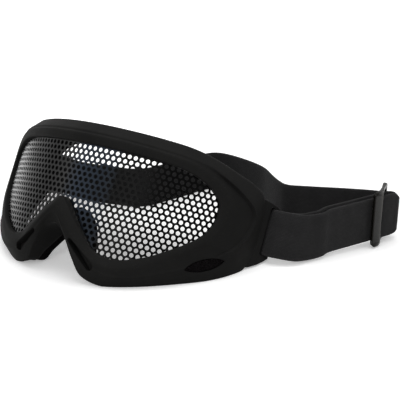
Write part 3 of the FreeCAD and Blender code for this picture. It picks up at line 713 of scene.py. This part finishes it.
def lower_vent_point(side, along, across, back):
    """Point in a lower vent: along its length, across it and back from the lens surface."""
    x, y, heading = plan(side * VENT_ARC)
    run = along * cos(VENT_TILT) - across * sin(VENT_TILT)
    up = along * sin(VENT_TILT) + across * cos(VENT_TILT)
    sideways = Vector((cos(heading), sin(heading), 0)) * (side * run)
    inward = Vector((-sin(heading), cos(heading), 0)) * back
    return Vector((x, y, VENT_HEIGHT + up)) + sideways + inward


def brow_vent_point(side, along, across, up):
    """Point in a brow vent: along its length, across it and its height."""
    x = BROW_X + along * cos(BROW_TURN) - across * sin(BROW_TURN)
    y = BROW_Y + along * sin(BROW_TURN) + across * cos(BROW_TURN)
    return Vector((side * x, y, up))


def vent_cutters(side):
    """Cutters for one side: lower vent, brow vent and nose slot."""
    lower, brow, slot = [], [], []
    for back, more in VENT_CUT:
        oval = oval_points(VENT_HALF_LENGTH + more, VENT_HALF_WIDTH + more, pointed=VENT_POINTED)
        lower.append([lower_vent_point(side, a, b, back) for a, b in oval])
    for up, more in BROW_CUT:
        oval = oval_points(BROW_HALF_LENGTH + more, BROW_HALF_WIDTH + more)
        brow.append([brow_vent_point(side, a, b, up) for a, b in oval])
    for (x, z), back, radius in NOSE_SLOT:
        end = Vector((side * x, 0, z))
        slot.append([Vector((end.x + a, back, end.z + b)) for a, b in oval_points(radius, radius, 20)])
    return [tapered_plug(lower), tapered_plug(brow), tapered_plug(slot)]


def scoop_round_vent(bm, side):
    """Sink the moulding's skin into a shallow dish above and behind a lower vent."""
    a, b = SCOOP_CENTRE
    centre = place(lower_vent_point(side, a, b, 0))
    along = (place(lower_vent_point(side, a + 1, b, 0)) - centre).normalized()
    across = (place(lower_vent_point(side, a, b + 1, 0)) - centre).normalized()
    inward = (place(lower_vent_point(side, a, b, 1.0)) - centre).normalized()
    for vert in bm.verts:
        off = (vert.co - centre) * 1000
        if not SCOOP_NEAREST < off.dot(inward) < SCOOP_FURTHEST:
            continue
        reach = 1 - (off.dot(along) / SCOOP_ALONG) ** 2 - (off.dot(across) / SCOOP_ACROSS) ** 2
        if reach > 0 and vert.normal.dot(inward) < -0.2:
            vert.co += inward * (SCOOP_DEPTH * 0.001 * min(1.0, reach * SCOOP_STEEPNESS))


def frame_moulding(material):
    """The whole moulded ring, cut through by vents and slots, and the skin it had before the cuts."""
    sections, wear_and_highlight_rows = [], []
    for row in rim_places(FRAME_STEPS):
        corners, radii, wear_and_highlight = zip(*rim_outline(row))
        sections.append([place(p) for p in softened(corners, radii)])
        wear_and_highlight_rows.append([value for value in wear_and_highlight for _ in range(CORNER_STEPS + 1)])
    bm = bmesh.new()
    # Each vertex carries its corner's share of wear and painted highlight.
    layer = bm.verts.layers.float.new("wear_and_highlight")
    rings = sweep(bm, sections, closed=True)
    for ring, values in zip(rings, wear_and_highlight_rows):
        for vert, value in zip(ring, values):
            vert[layer] = value
    merged_outward(bm)
    for side in (1, -1):
        scoop_round_vent(bm, side)
    skin = BVHTree.FromBMesh(bm)
    trimmed_flat(bm)
    obj = as_piece(bm, "frame_moulding", material)
    cut_away(obj, vent_cutters(1) + vent_cutters(-1))
    return obj, skin


def along_table(table, arc):
    """Value at an arc between the rows of a table, held level beyond its ends."""
    for (a, low), (b, high) in zip(table, table[1:]):
        if arc <= b:
            return low + (high - low) * max(0.0, arc - a) / (b - a)
    return table[-1][1]


def strap_ear(side, material):
    """Curved plate behind a temple with a slot and a bar for the strap."""
    bm = bmesh.new()
    slot_rows = [EAR_MIDDLE + EAR_SLOT_HALF * share for share in (-1, -0.5, 0, 0.5, 1)]
    across, upward = len(EAR_ARCS) - 1, len(slot_rows) + 1
    bmesh.ops.create_grid(bm, x_segments=across, y_segments=upward, size=1)
    for vert in bm.verts:
        arc = EAR_ARCS[round((vert.co.x + 1) / 2 * across)]
        heights = [along_table(EAR_BOTTOM, arc)] + slot_rows + [along_table(EAR_TOP, arc)]
        vert.co = Vector((arc, 0, heights[round((vert.co.y + 1) / 2 * upward)]))
    slot = [f for f in bm.faces if EAR_SLOT_ARC < f.calc_center_median().x < EAR_BAR_ARC
            and abs(f.calc_center_median().z - EAR_MIDDLE) < EAR_SLOT_HALF]
    bmesh.ops.delete(bm, geom=slot, context="FACES")
    bmesh.ops.subdivide_edges(bm, edges=bm.edges[:], cuts=1, use_grid_fill=True)
    even_normals(bm)
    bmesh.ops.solidify(bm, geom=bm.faces[:], thickness=EAR_THICKNESS)
    front = min(v.co.y for v in bm.verts)
    for vert in bm.verts:
        arc, back, up = vert.co
        vert.co = wrapped(side * arc, up, back - front - EAR_FRONT + along_table(EAR_SUNK, arc))
    even_normals(bm)
    rounded(bm, sharp_edges(bm), EAR_ROUND, clamp_overlap=True)
    for vert in bm.verts:
        vert.co = place(vert.co)
    layer = bm.verts.layers.float.new("wear_and_highlight")
    for vert in bm.verts:
        vert[layer] = EAR_RUB
    even_normals(bm)
    return as_piece(bm, "strap_ear_" + ("left" if side > 0 else "right"), material)


# Lens

def sheet_outline():
    """Edge of the steel sheet, seated in the groove, as arc and height."""
    points = []
    for row in rim_places(SHEET_STEPS):
        reach = hypot(row[2] - row[0], row[3] - row[1])
        out = (GROOVE_DEPTH - SHEET_PLAY) / reach
        points.append((row[0] + (row[2] - row[0]) * out, row[1] + (row[3] - row[1]) * out))
    return points


def nearest_on(outline, arc, up):
    """Gap to a closed outline, its nearest point, and whether the given point lies inside it."""
    best, spot, crossings = 1e9, None, 0
    for (ax, ay), (bx, by) in zip(outline, outline[1:] + outline[:1]):
        if (ay > up) != (by > up):
            crossings += arc < ax + (bx - ax) * (up - ay) / (by - ay)
        dx, dy = bx - ax, by - ay
        t = max(0.0, min(1.0, ((arc - ax) * dx + (up - ay) * dy) / (dx * dx + dy * dy)))
        gap = hypot(arc - ax - dx * t, up - ay - dy * t)
        if gap < best:
            best, spot = gap, (ax + dx * t, ay + dy * t)
    return best, spot, crossings % 2 == 1


def hole_cell(bm):
    """One flat six-sided cell with a round hole in it."""
    outer = bmesh.ops.create_circle(bm, segments=HOLE_SIDES, radius=1.0)["verts"]
    for vert in outer:
        angle = atan2(vert.co.y, vert.co.x)
        from_side = (angle + pi / 6) % (pi / 3) - pi / 6
        vert.co *= HOLE_PITCH / 2 / cos(from_side)
    inner = bmesh.ops.create_circle(bm, segments=HOLE_SIDES, radius=HOLE_RADIUS)["verts"]
    edges = {e for v in outer + inner for e in v.link_edges}
    bmesh.ops.bridge_loops(bm, edges=list(edges))


def perforated_lens(material):
    """Steel sheet with staggered round holes, made flat, trimmed to its edge, then curved."""
    outline = sheet_outline()
    bm = bmesh.new()
    hole_cell(bm)
    cell = bm.verts[:] + bm.edges[:] + bm.faces[:]
    rise = HOLE_PITCH * sqrt(3) / 2
    for row in range(-HOLE_ROWS, HOLE_ROWS + 1):
        for column in range(-HOLE_COLUMNS, HOLE_COLUMNS):
            arc, up = (column + (row % 2) / 2) * HOLE_PITCH, row * rise
            gap, _, inside = nearest_on(outline, arc, up)
            if not inside and gap > SLIVER:
                continue
            copy = bmesh.ops.duplicate(bm, geom=cell)["geom"]
            bmesh.ops.translate(bm, verts=[v for v in copy if isinstance(v, bmesh.types.BMVert)],
                                vec=(arc, up, 0))
    bmesh.ops.delete(bm, geom=[v for v in cell if isinstance(v, bmesh.types.BMVert)], context="VERTS")
    bmesh.ops.remove_doubles(bm, verts=bm.verts[:], dist=CELL_MERGE)
    for vert in bm.verts:
        _, spot, inside = nearest_on(outline, vert.co.x, vert.co.y)
        arc, up = (vert.co.x, vert.co.y) if inside else spot
        vert.co = Vector((arc, 0, up))
    bmesh.ops.remove_doubles(bm, verts=bm.verts[:], dist=EDGE_MERGE)
    even_normals(bm)
    bmesh.ops.solidify(bm, geom=bm.faces[:], thickness=LENS_THICKNESS)
    walls = bm.faces.layers.float.new("hole_wall")
    for face in bm.faces:
        face.normal_update()
        face[walls] = 1.0 if abs(face.normal.y) < 0.5 else 0.0
    backs = [v.co.y for v in bm.verts]
    middle = (min(backs) + max(backs)) / 2
    for vert in bm.verts:
        vert.co = place(wrapped(vert.co.x, vert.co.z, vert.co.y - middle))
    even_normals(bm)
    return as_piece(bm, "perforated_lens", material, 45.0)


# Foams

def face_foam(material):
    """Soft ring on the back of the flange, its face edge rounded."""
    sections = []
    for row in rim_places(FRAME_STEPS):
        flange, way, back = Vector(row[6:9]), flange_inward(row), Vector((0, 1, 0))
        outer = flange + way * RING_INSET + back * RING_LIFT
        inner = outer + way * RING_WIDTH
        top = outer + back * RING_HEIGHT
        corners = [outer, inner, inner + back * RING_INNER_HEIGHT - way * RING_SLANT,
                   top + way * RING_TOP_TO, top + way * RING_TOP_FROM,
                   outer + back * RING_OUTER_HEIGHT + way * RING_SLANT]
        sections.append([place(p) for p in softened(corners, RING_RADII)])
    bm = bmesh.new()
    sweep(bm, sections, closed=True)
    merged_outward(bm)
    trimmed_flat(bm)
    return as_piece(bm, "face_foam_ring", material, 80.0)


def skin_depth(skin, point, along, across):
    """How far along a vent's axis the moulding's skin lies, in the vent's own measure."""
    start, end = place(point(along, across, -SKIN_SEARCH)), place(point(along, across, SKIN_SEARCH))
    hit = skin.ray_cast(start, (end - start).normalized())[0]
    return (hit - start).length * 1000 - SKIN_SEARCH


def vent_foam(name, point, size, skin, material):
    """Foam plug with a crowned face that follows the moulding's skin, in a vent given by point()."""
    half_length, half_width, pointed, sunk = size
    bm = bmesh.new()
    bmesh.ops.create_circle(bm, cap_ends=True, segments=PLUG_SIDES, radius=1.0)
    disc = bm.faces[:]
    bmesh.ops.extrude_face_region(bm, geom=disc)
    bm.normal_update()
    disc = [f for f in bm.faces if len(f.verts) == PLUG_SIDES][:1]
    for vert in disc[0].verts:
        vert.co.z = 1.0
    for _ in range(PLUG_RINGS):
        bmesh.ops.inset_region(bm, faces=disc, thickness=0.2, use_even_offset=True)
    bmesh.ops.poke(bm, faces=disc)
    merged_outward(bm)
    for vert in bm.verts:
        x, y, front = vert.co
        reach = min(1.0, hypot(x, y))
        narrowed = max(0.0, 1 - x * x) ** (pointed / 2)
        a, b = x * half_length, y * half_width * narrowed
        back = skin_depth(skin, point, a, b) + sunk
        back += PLUG_DEPTH if front < 0.5 else PLUG_CROWN * reach ** 6
        vert.co = place(point(a, b, back))
    faces_outward(bm)
    return as_piece(bm, name, material, 80.0)


# Strap

def upright(turn):
    """Direction across the strap: 0 stands on the table, 1 leans back with the goggles."""
    return Vector((0, sin(LEAN * turn), cos(LEAN * turn)))


def route_rows(points):
    """Lower edge and direction across at each row of a route."""
    return [(Vector(p[:3]), upright(p[3])) for p in points]


def moved_sideways(rows, offset):
    """Rows moved square to the run and the width; plus is the outer side of the loop."""
    moved = []
    for i, (point, across) in enumerate(rows):
        before, after = rows[max(i - 1, 0)][0], rows[min(i + 1, len(rows) - 1)][0]
        moved.append((point + (after - before).cross(across).normalized() * offset, across))
    return moved


def bar_loop(side, start_deg, end_deg):
    """Strap rows round an ear's bar, between two angles."""
    reach_along = EAR_BAR_HALF + WRAP_GAP + STRAP_THICKNESS / 2
    reach_out = EAR_THICKNESS / 2 + WRAP_GAP + STRAP_THICKNESS / 2
    rows = []
    for k in range(LOOP_STEPS + 1):
        angle = radians(start_deg + (end_deg - start_deg) * k / LOOP_STEPS)
        arc = EAR_BAR_ARC + EAR_BAR_HALF + reach_along * cos(angle)
        back = EAR_THICKNESS / 2 - EAR_FRONT - reach_out * sin(angle)
        point = leant(wrapped(arc, EAR_MIDDLE - STRAP_WIDTH / 2, back))
        rows.append((Vector((side * point.x, point.y, point.z)), upright(1)))
    return rows


def strap_line():
    """Every row of the one strap, from its free tail round both ears to its sewn end."""
    near = route_rows(NEAR_ROUTE)
    end = route_rows([STRAIGHT_END])[0]
    run = end[0] - near[-1][0]
    doubled = near + [(near[-1][0] + run * (k / RUN_STEPS), near[-1][1]) for k in range(1, RUN_STEPS + 1)]
    outer, inner = moved_sideways(doubled, LAYER_OFFSET), moved_sideways(doubled, -LAYER_OFFSET)
    tail = (inner[-1][0] + run.normalized() * TAIL, inner[-1][1])
    far = route_rows(FAR_ROUTE)
    seam = [far[-1]] + route_rows(SEAM_ROUTE)
    second = moved_sideways(seam, STRAP_THICKNESS + SEAM_GAP)[:0:-1]
    return ([tail] + inner[::-1] + bar_loop(1, *NEAR_LOOP_TURN) + outer + route_rows(FOLD_ROUTE) + far
            + seam[1:] + bar_loop(-1, *FAR_LOOP_TURN) + second)


def strap_stations():
    """Smoothed stations: lower edge, direction across, direction sideways and distance run."""
    rows = [tuple(p) + tuple(w) for p, w in strap_line()]
    smooth = open_run(rows, STRAP_STEPS)
    stations, length = [], 0.0
    for i, row in enumerate(smooth):
        edge, across = Vector(row[:3]), Vector(row[3:]).normalized()
        before = Vector(smooth[max(i - 1, 0)][:3])
        after = Vector(smooth[min(i + 1, len(smooth) - 1)][:3])
        if i:
            length += (edge - before).length
        stations.append((edge, across, (after - before).cross(across).normalized(), length))
    return stations


def webbing_strap(material):
    """The whole elastic band as one swept piece, with its length and width as the map for the weave."""
    stations = strap_stations()
    sections = []
    fold = Vector(FOLD_ROUTE[1][:3]).lerp(Vector(FOLD_ROUTE[2][:3]), FOLD_SHARE)
    for edge, across, side, _ in stations:
        pulled = FOLD_PULL * exp(-((edge - fold).length / FOLD_REACH) ** 2)
        sections.append([in_metres(edge + across * (pulled + w * (STRAP_WIDTH - 2 * pulled))
                                   + side * (t * STRAP_THICKNESS / 2)) for w, t in BAND_PROFILE])
    bm = bmesh.new()
    uv = bm.loops.layers.uv.new("UVMap")
    rings = sweep(bm, sections)
    even_normals(bm)
    spot = {}
    for ring, (_, _, _, length) in zip(rings, stations):
        for vert, (w, _) in zip(ring, BAND_PROFILE):
            spot[vert] = (length * 0.001, w * STRAP_WIDTH * 0.001)
    for face in bm.faces:
        for loop in face.loops:
            loop[uv].uv = spot[loop.vert]
    return as_piece(bm, "webbing_strap", material, 60.0)


def seam_stitches(material):
    """Rows of short thread stitches across the doubled band at the far ear."""
    seam = [s for s in strap_stations() if SEAM_FROM < s[0].x < SEAM_TO and s[0].y > SEAM_BEHIND]
    size = Matrix.Diagonal([length * 0.001 for length in STITCH_SIZE] + [1])
    bm = bmesh.new()
    for edge, across, side, _ in seam[::max(1, len(seam) // STITCH_ROWS)][:STITCH_ROWS]:
        turn = Matrix((across.cross(side), side, across)).transposed().to_4x4()
        for k in range(1, STITCHES + 1):
            centre = edge + across * (k * STITCH_PITCH) + side * (STRAP_THICKNESS / 2)
            bmesh.ops.create_icosphere(bm, subdivisions=2, radius=1.0,
                                       matrix=Matrix.Translation(in_metres(centre)) @ turn @ size)
    merged_outward(bm, 1e-9)
    return as_piece(bm, "seam_stitches", material, 180.0)


# Slider

def strap_slider(material):
    """Three-bar slider: a plate with two windows and a folded lip, all its edges rounded."""
    spacing = hypot(SLIDER_PITCH, SLIDER_OFFSET)
    half, low, high = SLIDER_BAR / 2, SLIDER_RAIL, SLIDER_HEIGHT - SLIDER_RAIL
    ends = (-spacing - half - SLIDER_LIP, spacing + half + SLIDER_SWELL)
    lines = [ends[0], -spacing - half, -spacing + half, -half, half, spacing - half, ends[1]]
    levels = [0, low, high, SLIDER_HEIGHT]
    bm = bmesh.new()
    bmesh.ops.create_grid(bm, x_segments=6, y_segments=3, size=1)
    for vert in bm.verts:
        i, j = round((vert.co.x + 1) * 3), round((vert.co.y + 1) * 1.5)
        vert.co = Vector((lines[i], 0, levels[j]))
    windows = [f for f in bm.faces if low < f.calc_center_median().z < high
               and half < abs(f.calc_center_median().x) < spacing - half]
    bmesh.ops.delete(bm, geom=windows, context="FACES")
    even_normals(bm)
    bmesh.ops.solidify(bm, geom=bm.faces[:], thickness=SLIDER_THICKNESS)
    backs = [v.co.y for v in bm.verts]
    for vert in bm.verts:
        vert.co.y -= (min(backs) + max(backs)) / 2
    corners = [e for e in bm.edges if all(min(abs(v.co.x - x) for x in ends) < 0.01 for v in e.verts)
               and abs(e.verts[0].co.y - e.verts[1].co.y) > 1 and e.verts[0].co.z in (0, SLIDER_HEIGHT)]
    rounded(bm, corners, SLIDER_CORNER, segments=5)
    for vert in bm.verts:
        share = min(1.0, max(-1.0, vert.co.x / spacing))
        if share * vert.co.y > 0:
            vert.co.y += SLIDER_SWELL * share
    tilt = atan2(SLIDER_OFFSET, SLIDER_PITCH)
    bend = Vector((-spacing - half, 0, 0))
    for vert in bm.verts:
        if vert.co.x < bend.x - 0.01:
            vert.co = bend + Matrix.Rotation(-tilt, 3, "Z") @ (vert.co - bend)
    rounded(bm, sharp_edges(bm), SLIDER_EDGE)
    # Painted glint: a narrow stripe along the bend on the outer face, carried on the vertices.
    layer = bm.verts.layers.float.new("wear_and_highlight")
    for vert in bm.verts:
        vert[layer] = 1.0 if abs(vert.co.x - bend.x) < SLIDER_GLINT_REACH and vert.co.y < 0 else 0.0
    start = Vector(NEAR_ROUTE[-1][:3])
    along = (Vector(STRAIGHT_END[:3]) - start).normalized()
    middle = start + along * SLIDER_PLACE
    low_corner = middle - Vector((0, 0, SLIDER_GAP + SLIDER_RAIL))
    spot = Matrix.Translation(low_corner) @ Matrix.Rotation(tilt + atan2(along.y, along.x), 4, "Z")
    for vert in bm.verts:
        vert.co = in_metres(spot @ vert.co)
    faces_outward(bm)
    return as_piece(bm, "strap_slider", material, 50.0)


# Studio

def pale_floor():
    """Floor that takes the object's shadow and shows white to the camera."""
    bm = bmesh.new()
    bmesh.ops.create_grid(bm, x_segments=1, y_segments=1, size=FLOOR_SIZE)
    for vert in bm.verts:
        vert.co.z = -FLOOR_DROP
    material, tree, shader = new_material("floor_paper")
    direct = seen_directly(tree)
    colour = ramp(tree, direct, [(0.0, grey(FLOOR_BOUNCE)), (1.0, grey(1.0))])
    fill(shader, Roughness=0.9, Specular_IOR_Level=0.1, Emission_Color=grey(1.0))
    away = add(tree, "ShaderNodeVectorMath", operation="LENGTH")
    tree.links.new(own_place(tree), away.inputs[0])
    beyond = fill(add(tree, "ShaderNodeMapRange", interpolation_type="SMOOTHSTEP"),
                  From_Min=WHITE_FROM, From_Max=WHITE_FULL)
    drive(tree, beyond, Value=away.outputs["Value"])
    share = plus(tree, times(tree, beyond.outputs["Result"], 1 - FLOOR_GLOW), FLOOR_GLOW)
    drive(tree, shader, Base_Color=colour, Emission_Strength=times(tree, share, direct))
    floor = as_piece(bm, "floor", material)


def white_surround():
    """White all round to the camera, and a softer light on the object."""
    world = bpy.data.worlds.new("surround")
    bpy.context.scene.world = world
    world.use_nodes = True
    tree = world.node_tree
    strength = plus(tree, times(tree, seen_directly(tree), 1 - WORLD_LIGHT), WORLD_LIGHT)
    background = tree.nodes["Background"]
    background.inputs["Color"].default_value = grey(1.0)
    drive(tree, background, Strength=strength)


def soft_lamp(name, spot, target, size, power):
    """Square soft lamp that faces a point."""
    light = bpy.data.lights.new(name, "AREA")
    light.size, light.energy = size, power
    lamp = in_scene(name, light)
    lamp.location = spot
    lamp.rotation_euler = (Vector(target) - Vector(spot)).to_track_quat("-Z", "Y").to_euler()


def studio():
    """Floor, surround, lamps and the photograph's camera."""
    pale_floor()
    white_surround()
    for lamp in LAMPS:
        soft_lamp(*lamp)
    data = bpy.data.cameras.new("photo_camera")
    data.lens, data.sensor_width, data.clip_start = CAMERA_LENS, 36.0, 0.01
    camera = in_scene("photo_camera", data)
    camera.location, camera.rotation_euler = CAMERA_PLACE, CAMERA_TURN
    bpy.context.scene.camera = camera
    bpy.context.scene.view_settings.view_transform = "Standard"


def main():
    rubber, steel, foam = moulded_rubber(), perforated_steel(), open_foam()
    webbing, thread, metal = elastic_webbing(), sewing_thread(), lacquered_metal()

    moulding, skin = frame_moulding(rubber)
    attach(moulding, "goggles")
    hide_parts("frame")
    for side in (1, -1):
        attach(strap_ear(side, rubber), "goggles")

    lens = perforated_lens(steel)
    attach(lens, "goggles")
    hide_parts("mesh_lens")

    ring = face_foam(foam)
    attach(ring, "goggles")
    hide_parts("face_foam")
    for side, word in ((1, "left"), (-1, "right")):
        lower = vent_foam("lower_vent_foam_" + word, lambda a, b, c, s=side: lower_vent_point(s, a, b, c),
                          LOWER_FOAM, skin, foam)
        upper = vent_foam("brow_vent_foam_" + word,
                          lambda a, b, c, s=side: brow_vent_point(s, a, b, BROW_FOAM_Z - c),
                          BROW_FOAM, skin, foam)
        for plug, node in ((lower, "vent_foam_lower_" + word), (upper, "vent_foam_upper_" + word)):
            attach(plug, "goggles")
            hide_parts(node)

    strap = webbing_strap(webbing)
    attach(strap, "goggles")
    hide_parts("strap_inner_run", "strap_near_loop", "strap_outer_run", "strap_fold",
                "strap_far_run_near", "strap_far_run_middle", "strap_far_run_far", "strap_far_loop")
    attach(seam_stitches(thread), "goggles")

    slider = strap_slider(metal)
    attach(slider, "slider")
    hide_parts("slider")

    studio()


main()
